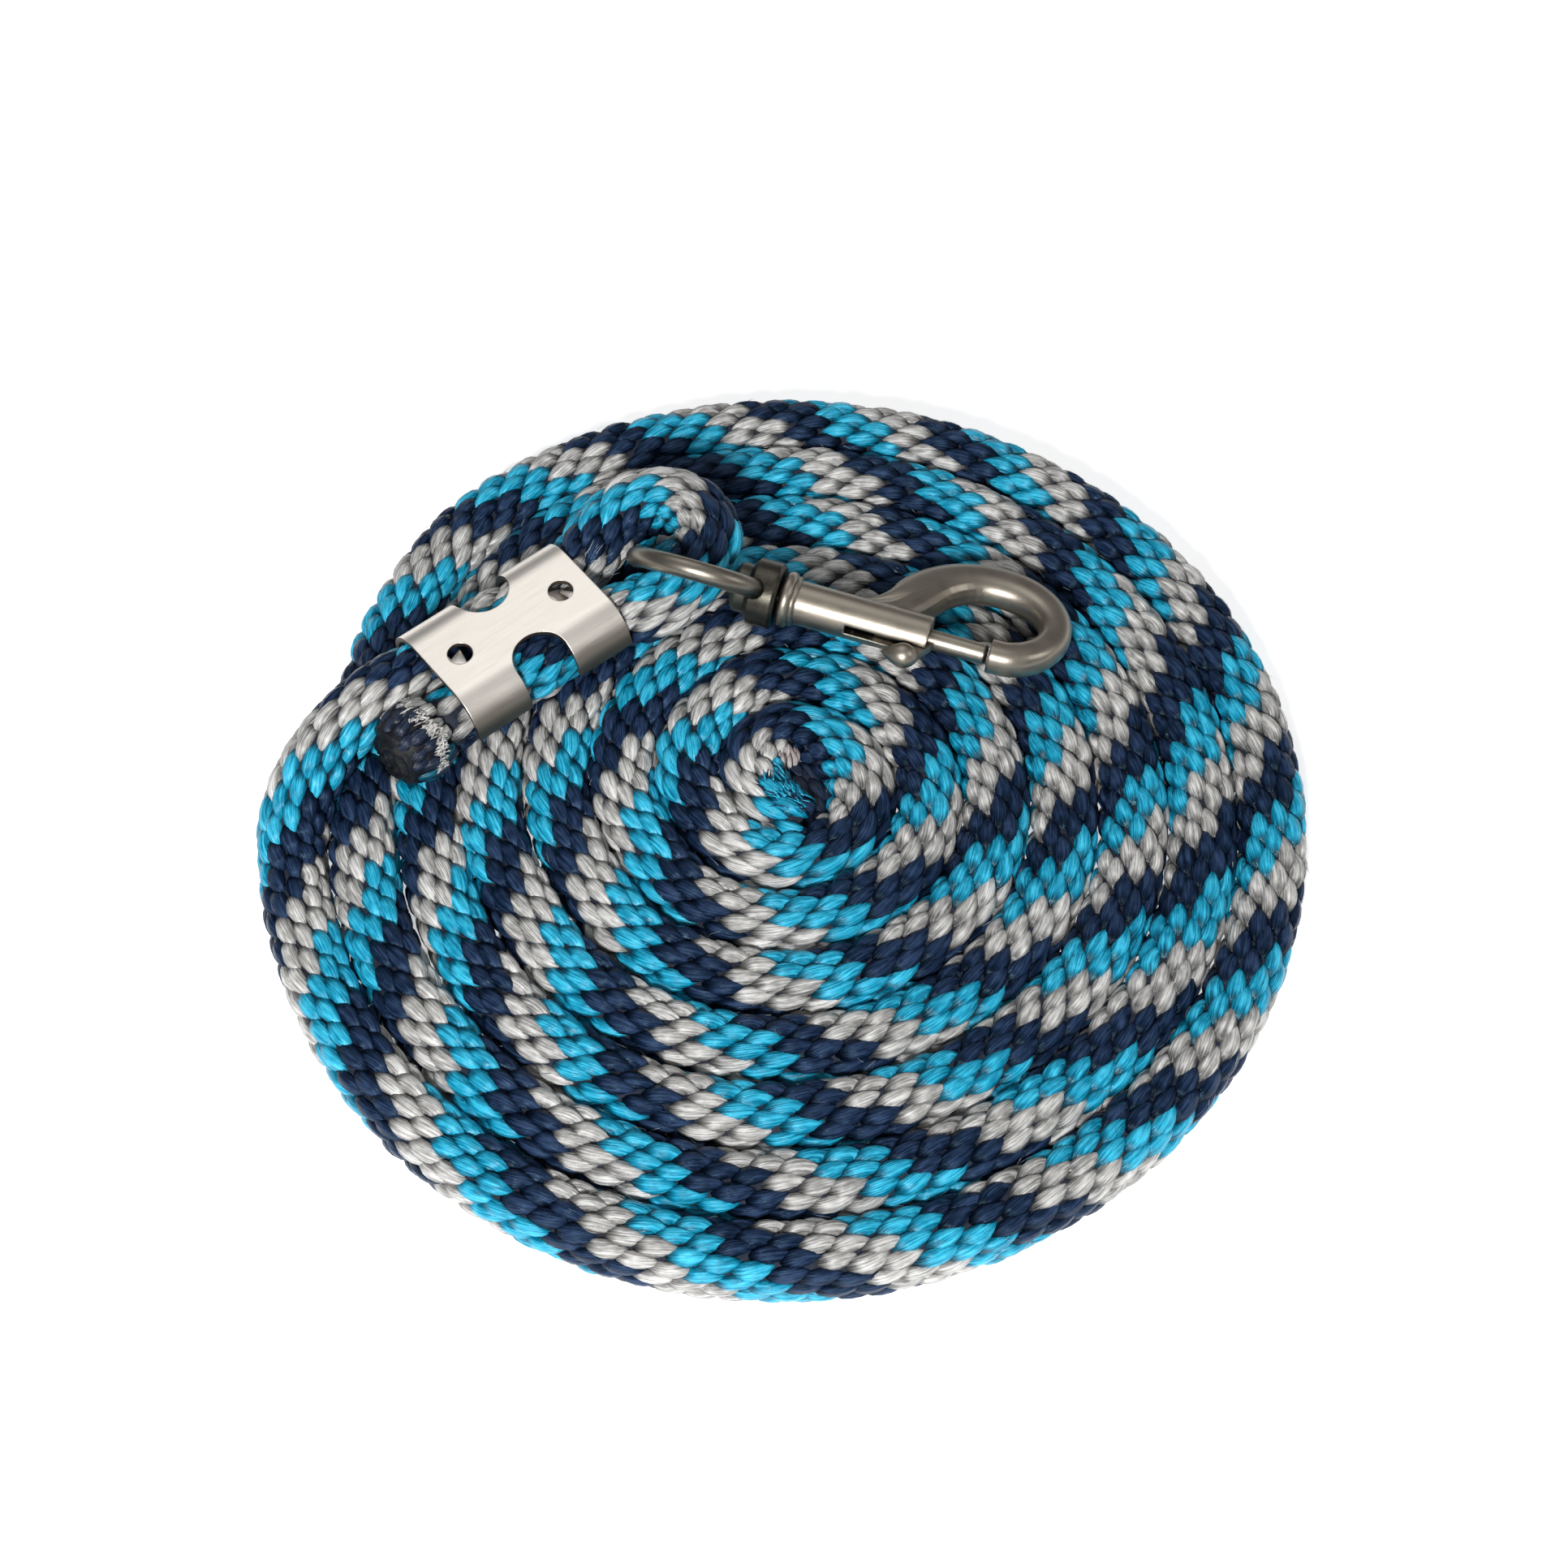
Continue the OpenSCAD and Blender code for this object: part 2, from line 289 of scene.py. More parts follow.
def pods(table, seed, strand=ROPE, size=1.0, swell=None, radius=7.8):
    """Leaf-shaped stitches of braided yarn, one for each row of the table."""
    r = np.random.default_rng(seed)
    n = len(table)
    s0 = table[:, 0] + r.normal(0, 0.20, n)
    p0 = table[:, 1] + r.normal(0, 1.1, n)
    tilt = TILT + r.normal(0, 0.06, n)
    # squeezed flatter and longer where it touches its neighbour
    touch = np.clip(np.abs(np.sin(np.radians(table[:, 1]))) - 0.6, 0, 0.4) / 0.4
    length = size * STITCH_L * (1 + r.normal(0, 0.03, n)) * (1 + 0.06 * touch)
    width = size * STITCH_W * (1 + r.normal(0, 0.04, n)) * (1 - 0.08 * touch)
    lift = r.normal(0, 0.13, n) - 0.15 * touch
    if swell is not None:
        lift = lift * (1 - 0.8 * np.interp(table[:, 0], S, squeeze))
    bend = r.normal(0, 0.18, n)
    ident = r.random(n)
    tau = np.concatenate([[-1], -np.cos(np.pi * (np.arange(RINGS) + 0.75)
                                        / (RINGS + 0.5)), [1]])
    a = np.abs(tau)
    half_w = np.where(tau < 0, (1 - a ** 1.55) ** 0.92, (1 - a ** 2.0) ** 0.86) / 2
    half_h = size * 1.65 * (1 - a ** 2.4) ** 0.65
    # the pointed end lies over its neighbours, the blunt one dives under them
    centre = 8.0 - 1.48 * size - np.where(tau < 0, 0.80, 1.75) * size * a ** 2.4
    beta = 2 * np.pi * (np.arange(SIDES) + 0.5) / SIDES
    tw = tau[None, 1:-1, None]
    along = tw * length[:, None, None] / 2
    across = half_w[None, 1:-1, None] * width[:, None, None] * np.cos(beta)
    bow = bend[:, None, None] * (1 - tw ** 2)
    rad = centre[None, 1:-1, None] + half_h[None, 1:-1, None] * np.sin(beta) + lift[:, None, None]
    ct, st = np.cos(tilt)[:, None, None], np.sin(tilt)[:, None, None]
    ss = s0[:, None, None] + along * ct - (across + bow) * st
    yy = along * st + (across + bow) * ct
    ph = p0[:, None, None] + np.degrees(yy / radius)
    if swell is not None:
        rad = rad + swell(ss, ph)
    ring = place(ss.ravel(), ph.ravel(), (rad / 8.0 + 0 * ss).ravel(), strand).reshape(n, RINGS * SIDES, 3)
    ring_at = np.stack(np.broadcast_arrays(along, across + 0 * along, ident[:, None, None]), -1).reshape(n, RINGS * SIDES, 3)
    tips, tip_at = [], []
    for e in (0, -1):
        al = tau[e] * length / 2
        tips.append(place(s0 + al * np.cos(tilt), p0 + np.degrees(al * np.sin(tilt) / radius),
                          (centre[e] + lift) / 8.0, strand))
        tip_at.append(np.stack([al, 0 * al, ident], -1))
    verts = np.concatenate([ring, np.stack(tips, 1)], 1)
    at = np.concatenate([ring_at, np.stack(tip_at, 1)], 1)
    k = RINGS * SIDES + 2
    j = np.arange(SIDES)
    q = []
    for i in range(RINGS - 1):
        q.append(np.stack([i * SIDES + j, i * SIDES + (j + 1) % SIDES,
                           (i + 1) * SIDES + (j + 1) % SIDES, (i + 1) * SIDES + j], -1))
    q = np.concatenate(q)
    t1 = np.stack([np.full(SIDES, k - 2), (j + 1) % SIDES, j], -1)
    b = (RINGS - 1) * SIDES
    t2 = np.stack([np.full(SIDES, k - 1), b + j, b + (j + 1) % SIDES], -1)
    off = (np.arange(n) * k)[:, None, None]
    quads = (q[None] + off).reshape(-1, 4)
    tris = (np.concatenate([t1, t2])[None] + off).reshape(-1, 3)
    return verts.reshape(-1, 3), [quads, tris], at.reshape(-1, 3)


def joined(parts):
    """Several (verts, [quads, tris], attribute) sets as one."""
    v, q, r, at, n = [], [], [], [], 0
    for pv, (pq, pr), pa in parts:
        v.append(pv)
        q.append(pq + n)
        r.append(pr + n)
        at.append(pa)
        n += len(pv)
    return np.concatenate(v), [np.concatenate(q), np.concatenate(r)], np.concatenate(at)


def fibres(roots, dirs, lengths, thick, droop, seed):
    """Thin tapering broken filaments, each a bent closed three-sided spike."""
    r = np.random.default_rng(seed)
    n, steps = len(roots), 5
    dirs = dirs / np.linalg.norm(dirs, axis=1)[:, None]
    side = np.cross(dirs, np.array([0, 0, 1.0]) + 0.01)
    side /= np.linalg.norm(side, axis=1)[:, None]
    over = np.cross(side, dirs)
    curl = r.normal(0, 0.22, n)
    v = []
    for i in range(steps):
        f = i / steps
        mid = (roots + dirs * (lengths * f)[:, None] + side * (curl * lengths * f * f)[:, None]
               + np.array([0, 0, -1.0]) * (droop * lengths * f * f)[:, None])
        w = thick * (1 - f) ** 0.6
        for k in range(3):
            an = 2 * math.pi * k / 3
            v.append(mid + w[:, None] * (math.cos(an) * side + math.sin(an) * over))
    v.append(roots + dirs * lengths[:, None] + side * (curl * lengths)[:, None]
             + np.array([0, 0, -1.0]) * (droop * lengths)[:, None])
    v = np.stack(v, 1)
    k = steps * 3 + 1
    j = np.arange(3)
    q = np.concatenate([np.stack([i * 3 + j, i * 3 + (j + 1) % 3, (i + 1) * 3 + (j + 1) % 3,
                                  (i + 1) * 3 + j], -1) for i in range(steps - 1)])
    tr = np.concatenate([[[2, 1, 0]], np.stack([(steps - 1) * 3 + j, (steps - 1) * 3 + (j + 1) % 3,
                                                np.full(3, k - 1)], -1)])
    off = (np.arange(n) * k)[:, None, None]
    at = np.zeros((n, k, 3))
    at[:, :, 2] = r.random(n)[:, None]
    return v.reshape(-1, 3), [(q[None] + off).reshape(-1, 4), (tr[None] + off).reshape(-1, 3)], at.reshape(-1, 3)


# ---------------------------------------------------------------- materials
def new_mat(name):
    m = bpy.data.materials.new(name)
    m.use_nodes = True
    nt = m.node_tree
    nt.nodes.clear()
    out = nt.nodes.new("ShaderNodeOutputMaterial")
    b = nt.nodes.new("ShaderNodeBsdfPrincipled")
    nt.links.new(b.outputs[0], out.inputs[0])
    return m, nt, b


def node(nt, kind, **settings):
    n = nt.nodes.new(kind)
    for k, v in settings.items():
        if k.startswith("in_"):
            key = k[3:]
            n.inputs[int(key) if key.isdigit() else key].default_value = v
        else:
            setattr(n, k, v)
    return n


def link(nt, a, b):
    nt.links.new(a, b)


def ramp(nt, fac, stops):
    n = nt.nodes.new("ShaderNodeValToRGB")
    el = n.color_ramp.elements
    el[0].position, el[0].color = stops[0][0], (*stops[0][1], 1)
    el[1].position, el[1].color = stops[-1][0], (*stops[-1][1], 1)
    for pos, c in stops[1:-1]:
        e = el.new(pos)
        e.color = (*c, 1)
    link(nt, fac, n.inputs[0])
    return n.outputs[0]


def math_node(nt, op, a, b=None, c=None):
    n = nt.nodes.new("ShaderNodeMath")
    n.operation = op
    for i, v in enumerate((a, b, c)):
        if v is None:
            continue
        if isinstance(v, (int, float)):
            n.inputs[i].default_value = v
        else:
            link(nt, v, n.inputs[i])
    return n.outputs[0]


def mix_rgb(nt, fac, a, b, blend="MIX"):
    n = nt.nodes.new("ShaderNodeMix")
    n.data_type = "RGBA"
    n.blend_type = blend
    for key, v in (("Factor", fac), ("A", a), ("B", b)):
        sock = [i for i in n.inputs if i.name == key and i.enabled]
        sock = sock[0]
        if isinstance(v, (int, float)):
            sock.default_value = v
        elif isinstance(v, tuple):
            sock.default_value = (*v, 1)
        else:
            link(nt, v, sock)
    return [o for o in n.outputs if o.enabled][0]


def yarn_material(name, deep, mid, light, spec, sheen, tint=(1, 1, 1)):
    m, nt, b = new_mat(name)
    at = node(nt, "ShaderNodeAttribute", attribute_name="st")
    sep = node(nt, "ShaderNodeSeparateXYZ")
    link(nt, at.outputs["Vector"], sep.inputs[0])
    along, across, ident = sep.outputs
    # filaments run along the stitch
    co = node(nt, "ShaderNodeCombineXYZ")
    link(nt, math_node(nt, "MULTIPLY", along, 0.16), co.inputs[0])
    link(nt, math_node(nt, "MULTIPLY", across, 3.4), co.inputs[1])
    link(nt, math_node(nt, "MULTIPLY", ident, 97.0), co.inputs[2])
    fil = node(nt, "ShaderNodeTexNoise", in_Scale=1.0, in_Detail=3.0, in_Roughness=0.6)
    link(nt, co.outputs[0], fil.inputs["Vector"])
    co2 = node(nt, "ShaderNodeCombineXYZ")
    link(nt, math_node(nt, "MULTIPLY", along, 0.35), co2.inputs[0])
    link(nt, math_node(nt, "MULTIPLY", across, 1.1), co2.inputs[1])
    link(nt, math_node(nt, "MULTIPLY", ident, 31.0), co2.inputs[2])
    soft = node(nt, "ShaderNodeTexNoise", in_Scale=1.0, in_Detail=2.0)
    link(nt, co2.outputs[0], soft.inputs["Vector"])
    # painted shade: the colour is darkened towards the stitch's ends, most at the end that dives under its
    # neighbours, and along its sides where stitches meet
    end = node(nt, "ShaderNodeMapRange", in_1=0.7, in_2=4.2, in_3=0.0, in_4=1.0, interpolation_type="SMOOTHSTEP")
    link(nt, along, end.inputs[0])
    tip = node(nt, "ShaderNodeMapRange", in_1=3.4, in_2=5.2, in_3=0.0, in_4=0.45, interpolation_type="SMOOTHSTEP")
    link(nt, math_node(nt, "MULTIPLY", along, -1.0), tip.inputs[0])
    side = node(nt, "ShaderNodeMapRange", in_1=1.0, in_2=2.25, in_3=0.0, in_4=1.0, interpolation_type="SMOOTHSTEP")
    link(nt, math_node(nt, "ABSOLUTE", across), side.inputs[0])
    dark = math_node(nt, "MAXIMUM", math_node(nt, "MAXIMUM", end.outputs[0], tip.outputs[0]),
                     math_node(nt, "MULTIPLY", side.outputs[0], 0.45))
    spread = []
    for src in (fil.outputs[0], soft.outputs[0]):
        mr = node(nt, "ShaderNodeMapRange", in_1=0.33, in_2=0.67, in_3=0.0, in_4=1.0)
        link(nt, src, mr.inputs[0])
        spread.append(mr.outputs[0])
    tone = math_node(nt, "MULTIPLY_ADD", spread[0], 0.52, 0.14)
    tone = math_node(nt, "MULTIPLY_ADD", spread[1], 0.32, tone)
    tone = math_node(nt, "MULTIPLY_ADD", ident, 0.16, tone)
    # the painted shade pulls the tone towards the deep colour, and below it also multiplies the colour darker
    tone = math_node(nt, "MULTIPLY_ADD", dark, -0.42, tone)
    col = ramp(nt, tone, [(0.08, deep), (0.50, mid), (0.95, light)])
    shade = math_node(nt, "SUBTRACT", 1.0, math_node(nt, "MULTIPLY", dark, 0.70))
    grey = node(nt, "ShaderNodeCombineXYZ")
    for i in range(3):
        link(nt, shade, grey.inputs[i])
    col = mix_rgb(nt, 1.0, col, grey.outputs[0], "MULTIPLY")
    link(nt, col, b.inputs["Base Color"])
    rough = math_node(nt, "MULTIPLY_ADD", fil.outputs[0], 0.34, 0.13)
    link(nt, rough, b.inputs["Roughness"])
    b.inputs["Specular IOR Level"].default_value = spec
    b.inputs["Specular Tint"].default_value = (*tint, 1)
    b.inputs["Sheen Weight"].default_value = sheen
    b.inputs["Sheen Roughness"].default_value = 0.45
    bump = node(nt, "ShaderNodeBump", in_Strength=0.75, in_Distance=0.00038)
    link(nt, fil.outputs[0], bump.inputs["Height"])
    link(nt, bump.outputs[0], b.inputs["Normal"])
    return m


NAVY = yarn_material("yarn_navy", (0.0005, 0.002, 0.008), (0.005, 0.013, 0.036), (0.030, 0.056, 0.125), 0.22, 0.0, (0.45, 0.72, 1.0))
CYAN = yarn_material("yarn_cyan", (0.0, 0.035, 0.075), (0.001, 0.255, 0.42), (0.06, 0.60, 0.86), 0.50, 0.0, (0.62, 0.92, 1.0))
GREY = yarn_material("yarn_grey", (0.07, 0.071, 0.073), (0.32, 0.315, 0.303), (0.76, 0.75, 0.73), 0.50, 0.0)
FRAY = yarn_material("yarn_fray", (0.10, 0.13, 0.17), (0.26, 0.32, 0.38), (0.50, 0.52, 0.52), 0.25, 0.10)
# near-black yarn: scorched on the melted tail end, painted shade on the tucked inner end
SCORCHED_AND_SHADE = yarn_material("yarn_scorched", (0.001, 0.003, 0.007), (0.004, 0.008, 0.022), (0.02, 0.035, 0.07), 0.35, 0.0)
TEAL = yarn_material("yarn_scorched_teal", (0.0, 0.012, 0.02), (0.003, 0.06, 0.10), (0.01, 0.16, 0.24), 0.35, 0.0)
BLUSH = yarn_material("yarn_cut_end", (0.20, 0.16, 0.155), (0.50, 0.44, 0.43), (0.78, 0.72, 0.71), 0.30, 0.0)


def shadow_core_material():
    # near-black colour: painted shade for the gaps between the stitches
    m, nt, b = new_mat("rope_shadow_core")
    tc = node(nt, "ShaderNodeTexCoord")
    n = node(nt, "ShaderNodeTexNoise", in_Scale=900.0, in_Detail=4.0)
    link(nt, tc.outputs["Object"], n.inputs["Vector"])
    col = ramp(nt, n.outputs[0], [(0.3, (0.002, 0.004, 0.010)), (0.7, (0.010, 0.018, 0.040))])
    link(nt, col, b.inputs["Base Color"])
    b.inputs["Roughness"].default_value = 0.8
    bump = node(nt, "ShaderNodeBump", in_Strength=0.5, in_Distance=0.0004)
    link(nt, n.outputs[0], bump.inputs["Height"])
    link(nt, bump.outputs[0], b.inputs["Normal"])
    return m


# ---------------------------------------------------------------- rope pieces
def core_tube():
    # a near-black tube just under the stitches: painted shade that shows in the gaps between them
    s = np.linspace(1.5, ROPE_LEN - 1.5, int(ROPE_LEN / 3))
    n = 16
    phi = np.arange(n) * 360 / n
    ss, pp = np.meshgrid(s, phi, indexing="ij")
    v = place(ss.ravel(), pp.ravel(), np.full(ss.size, 0.80))
    m = len(s)
    i, j = np.meshgrid(np.arange(m - 1), np.arange(n), indexing="ij")
    i, j = i.ravel(), j.ravel()
    quads = np.stack([i * n + j, (i + 1) * n + j, (i + 1) * n + (j + 1) % n, i * n + (j + 1) % n], -1)
    caps = np.array([np.arange(n), ((m - 1) * n + np.arange(n))[::-1]])
    return mesh_object("rope_shadow_core", v, [quads, caps])


def melted_material():
    m, nt, b = new_mat("melted_end")
    tc = node(nt, "ShaderNodeTexCoord")
    n = node(nt, "ShaderNodeTexNoise", in_Scale=420.0, in_Detail=6.0, in_Roughness=0.65)
    link(nt, tc.outputs["Object"], n.inputs["Vector"])
    col = ramp(nt, n.outputs[0], [(0.30, (0.0015, 0.0015, 0.002)), (0.55, (0.005, 0.006, 0.009)),
                                  (0.80, (0.018, 0.019, 0.025))])
    link(nt, col, b.inputs["Base Color"])
    b.inputs["Specular IOR Level"].default_value = 0.28
    link(nt, math_node(nt, "MULTIPLY_ADD", n.outputs[0], 0.5, 0.28), b.inputs["Roughness"])
    bump = node(nt, "ShaderNodeBump", in_Strength=0.7, in_Distance=0.0006)
    link(nt, n.outputs[0], bump.inputs["Height"])
    link(nt, bump.outputs[0], b.inputs["Normal"])
    return m


SHADOW_CORE = shadow_core_material()
MELTED = melted_material()
core = core_tube()
core.data.materials.append(SHADOW_CORE)
pieces = []
YARNS = (("navy", NAVY), ("cyan", CYAN), ("grey", GREY))
cuts = [0.0, spiral_len * 0.42, spiral_len, ROPE_LEN + 1]
for part, (a, b) in enumerate(zip(cuts[:-1], cuts[1:])):
    for c, (cname, mat) in enumerate(YARNS):
        sel = (ST[:, 0] >= a) & (ST[:, 0] < b) & (colour == c)
        v, f, at = pods(ST[sel], 100 + part * 10 + c, swell=bulge)
        o = mesh_object("rope_yarn_%s_%s" % (cname, ("inner_turns", "outer_turns", "run")[part]), v, f, attrs={"st": at})
        o.data.materials.append(mat)
        pieces.append(o)


# broken filaments where the turns rub, and where the rope leaves the clamp
def fray():
    r = np.random.default_rng(7)
    n = 320
    s = r.uniform(20, spiral_len - 20, n)
    phi = np.where(r.random(n) < 0.5, 1, -1) * r.uniform(50, 78, n)
    roots = place(s, phi, np.full(n, 0.985))
    ahead = place(s + 2.0, phi + r.normal(0, 12, n), r.uniform(1.0, 1.06, n))
    one = fibres(roots, ahead - roots, r.uniform(1.5, 3.4, n), r.uniform(0.05, 0.10, n), 0.10, 8)
    m = 26
    end = float(np.interp(25.0, u_pos[S > spiral_len + 30][:80], S[S > spiral_len + 30][:80]))
    s = end + r.uniform(0.5, 6, m)
    phi = r.uniform(-100, -20, m)
    roots = place(s, phi, np.full(m, 0.97))
    ahead = place(s + 2.0, phi + r.normal(0, 9, m), r.uniform(1.0, 1.05, m))
    two = fibres(roots, ahead - roots, r.uniform(2.0, 4.5, m), r.uniform(0.06, 0.12, m), 0.10, 9)
    v, f, at = joined([one, two])
    o = mesh_object("rope_frayed_filaments", v, f, attrs={"st": at})
    o.data.materials.append(FRAY)
    return o


pieces.append(fray())


def loosened(name, mat, n, seed):
    r = np.random.default_rng(seed)
    s = r.uniform(1, 13, n)
    phi = r.uniform(-100, 5, n)
    roots = place(s, phi, r.uniform(0.95, 0.99, n))
    ahead = place(s + 3.0, phi + r.normal(0, 8, n), r.uniform(0.98, 1.02, n))
    v, f, at = fibres(roots, ahead - roots, r.uniform(2.0, 4.2, n), r.uniform(0.18, 0.42, n), 0.10, seed + 1)
    o = mesh_object(name, v, f, attrs={"st": at})
    o.data.materials.append(mat)
    return o


pieces.append(loosened("inner_end_loose_cyan", CYAN, 120, 51))
pieces.append(loosened("inner_end_loose_navy", NAVY, 45, 53))


# ---- melted tail end: yarns run over its shoulder into a burnt, ridged cap
def tail_point(a, r, ang):
    """a along the tail past its cut, r out from its axis, ang from up."""
    return (from_clamp(0, 0, 0)[None] + (-27 - a)[:, None] * CU
            + (-LANE + r * np.sin(ang))[:, None] * CV + (r * np.cos(ang))[:, None] * CW)


def tail_cap():
    r = np.random.default_rng(21)
    m, n = 46, 96
    f = np.linspace(0, 1, m)
    # shoulder to middle: radius and how far it stands past the cut
    rad = np.interp(f, [0, 0.15, 0.4, 0.7, 1.0], [7.9, 8.3, 7.3, 4.3, 0.0])
    out = np.interp(f, [0, 0.15, 0.4, 0.7, 1.0], [1.0, 5.5, 10.2, 12.2, 11.6])
    ang = np.arange(n) * 2 * math.pi / n
    F, A = np.meshgrid(f, ang, indexing="ij")
    R = np.repeat(rad[:, None], n, 1)
    O = np.repeat(out[:, None], n, 1)
    bump = np.zeros_like(R)
    for k in range(14):
        w, ph, e, g = r.integers(2, 9), r.uniform(0, 6.3), r.uniform(3, 11), r.uniform(0, 6.3)
        bump += 0.085 * np.sin(w * A + ph) * np.sin(e * F * math.pi + g)
    ridge = 0.30 * np.sin(2 * math.pi * R / 2.3 + 1.3 * np.sin(2 * A + 0.6) + 0.8 * np.sin(5 * A)) * np.clip(F * 3 - 0.8, 0, 1)
    O = O + ridge + bump * np.clip(F * 2, 0, 1) * (R > 0.1)
    R = R * (1 + 0.05 * bump) + 0.25 * bump * (F < 0.6)
    v = tail_point(O[:-1].ravel(), R[:-1].ravel(), A[:-1].ravel())
    v = np.concatenate([v, tail_point(np.array([out[-1], 0.4]), np.array([0.0, 0.0]), np.array([0.0, 0.0]))])
    i, j = np.meshgrid(np.arange(m - 2), np.arange(n), indexing="ij")
    i, j = i.ravel(), j.ravel()
    quads = np.stack([i * n + j, i * n + (j + 1) % n, (i + 1) * n + (j + 1) % n, (i + 1) * n + j], -1)
    j = np.arange(n)
    last, tip, base = (m - 2) * n, (m - 1) * n, (m - 1) * n + 1
    tris = np.concatenate([np.stack([last + j, last + (j + 1) % n, np.full(n, tip)], -1),
                           np.stack([(j + 1) % n, j, np.full(n, base)], -1)])
    o = mesh_object("tail_melted_cap", v, [quads, tris])
    o.data.materials.append(MELTED)
    return o


def tail_yarns():
    at = np.array([-25.5, -27.5, -29.5, -31.5, -33.5, -35.5, -37.5])
    strand = strand_along([from_clamp(u, -LANE, 0) for u in at],
                          [7.8, 8.3, 9.1, 9.3, 9.0, 8.3, 6.9], [7.8, 8.3, 9.1, 9.3, 9.0, 8.3, 6.9])
    r = np.random.default_rng(5)
    rows = []
    for j in range(14):
        for k in range(3):
            rows.append([1.6 + 3.6 * k + 1.8 * (j % 2), 360 / 14 * j + r.normal(0, 4), j + k])
    rows = np.array(rows)
    rows[:, 1] = (rows[:, 1] + 180) % 360 - 180
    low = np.abs(rows[:, 1]) > 62
    kind = np.where(low, np.where(rows[:, 2] % 3 == 0, 1, 0), 0)
    kind = np.where(~low & (rows[:, 0] < 4.5), 2, kind)
    out = []
    for c, (cname, mat) in enumerate((("scorched", SCORCHED_AND_SHADE), ("teal", TEAL), ("collar", GREY))):
        v, f, a = pods(rows[kind == c], 60 + c, strand, 0.84, radius=8.8)
        o = mesh_object("tail_yarn_%s" % cname, v, f, attrs={"st": a})
        o.data.materials.append(mat)
        out.append(o)
    m = 210
    ang = r.uniform(-1.7, 1.6, m)
    reach = r.uniform(0.8, 3.4, m) + 0.9 * np.sin(3.1 * ang + 0.7)
    roots = tail_point(reach, np.full(m, 8.8), ang)
    ahead = tail_point(reach + r.uniform(1.2, 2.4, m), r.uniform(8.8, 9.3, m), ang + r.normal(0, 0.10, m))
    v, f, a = fibres(roots, ahead - roots, r.uniform(1.0, 2.3, m), r.uniform(0.22, 0.42, m), 0.10, 22)
    o = mesh_object("tail_frayed_rim", v, f, attrs={"st": a})
    o.data.materials.append(GREY)
    return out + [o]


# ---- cut inner end: a small bunch of yarn ends over the tucked rope
def tube(strand, rho, n, name, mat):
    m = len(strand.s)
    ss, pp = np.meshgrid(strand.s, np.arange(n) * 360 / n, indexing="ij")
    v = place(ss.ravel(), pp.ravel(), np.full(ss.size, rho), strand)
    i, j = np.meshgrid(np.arange(m - 1), np.arange(n), indexing="ij")
    i, j = i.ravel(), j.ravel()
    quads = np.stack([i * n + j, (i + 1) * n + j, (i + 1) * n + (j + 1) % n, i * n + (j + 1) % n], -1)
    caps = np.array([np.arange(n), ((m - 1) * n + np.arange(n))[::-1]])
    o = mesh_object(name, v, [quads, caps])
    o.data.materials.append(mat)
    return o


def inner_end():
    # the tucked rope at the coil's centre: its stitches and core are near-black all over, painted shade of the deep
    # hollow there
    dark = strand_along([[9.5, -10.5, 5.2], [8.0, -5, 5.6], [6.2, 2, 5.8], [3.6, 9, 5.8], [0.5, 13.5, 5.6]],
                        [5.4, 6.0, 6.2, 6.0, 5.0], [4.2, 4.6, 4.8, 4.8, 4.2])
    rows = []
    for j in range(10):
        for k in range(6):
            rows.append([1.6 + 4.3 * k + 2.1 * (j % 2), (36 * j - 8 * k + 180) % 360 - 180, 0])
    v, f, a = pods(np.array(rows, float), 31, dark, 0.80, radius=5.4)
    under = mesh_object("inner_end_tucked_yarns", v, f, attrs={"st": a})
    under.data.materials.append(SCORCHED_AND_SHADE)
    under_core = tube(dark, 0.86, 16, "inner_end_tucked_core", SHADOW_CORE)
    # finger-like yarn ends standing out of the cut
    r = np.random.default_rng(33)
    rings, sides = 9, 10
    v, q, tr, at, base = [], [], [], [], 0
    for k in range(10):
        an = 2 * math.pi * k / 8 + r.normal(0, 0.2)
        d = 1.0 if k < 8 else 0.35
        foot = np.array([1.6 + 1.0 * d * math.cos(an), 10.4 + 0.8 * d * math.sin(an), 8.0])
        head = np.array([1.6 + 1.9 * d * math.cos(an), 11.3 + 1.1 * d * math.sin(an), 14.4 + r.normal(0, 0.4)])
        lean = np.array([0.5 * math.cos(an), 0.4 * math.sin(an), 0.0])
        fat = 0.54 * (1 + r.normal(0, 0.12))
        for i in range(rings):
            g = i / (rings - 1)
            mid = foot + (head - foot) * g + lean * math.sin(math.pi * g)
            w = fat * (0.85 + 0.25 * math.sin(math.pi * g)) * (1 - max(0.0, g - 0.7) ** 2 * 7.5)
            for j in range(sides):
                b = 2 * math.pi * j / sides
                groove = 1 + 0.07 * math.sin(5 * b + k)
                v.append(mid + w * groove * np.array([math.cos(b), math.sin(b), 0]))
                at.append([6 * g - 3, 1.6 * (j / sides - 0.5), (k * 0.37) % 1])
        j = np.arange(sides)
        for i in range(rings - 1):
            q.append(base + np.stack([i * sides + j, i * sides + (j + 1) % sides,
                                      (i + 1) * sides + (j + 1) % sides, (i + 1) * sides + j], -1))
        v.append(head + np.array([0, 0, 0.35]))
        at.append([3, 0, (k * 0.37) % 1])
        v.append(foot)
        at.append([-3, 0, (k * 0.37) % 1])
        top = (rings - 1) * sides
        tr.append(base + np.stack([top + j, top + (j + 1) % sides, np.full(sides, rings * sides)], -1))
        tr.append(base + np.stack([(j + 1) % sides, j, np.full(sides, rings * sides + 1)], -1))
        base += rings * sides + 2
    tips = mesh_object("inner_end_cut_yarns", np.array(v), [np.concatenate(q), np.concatenate(tr)], attrs={"st": np.array(at)})
    tips.data.materials.append(BLUSH)
    return [under, tips, under_core]


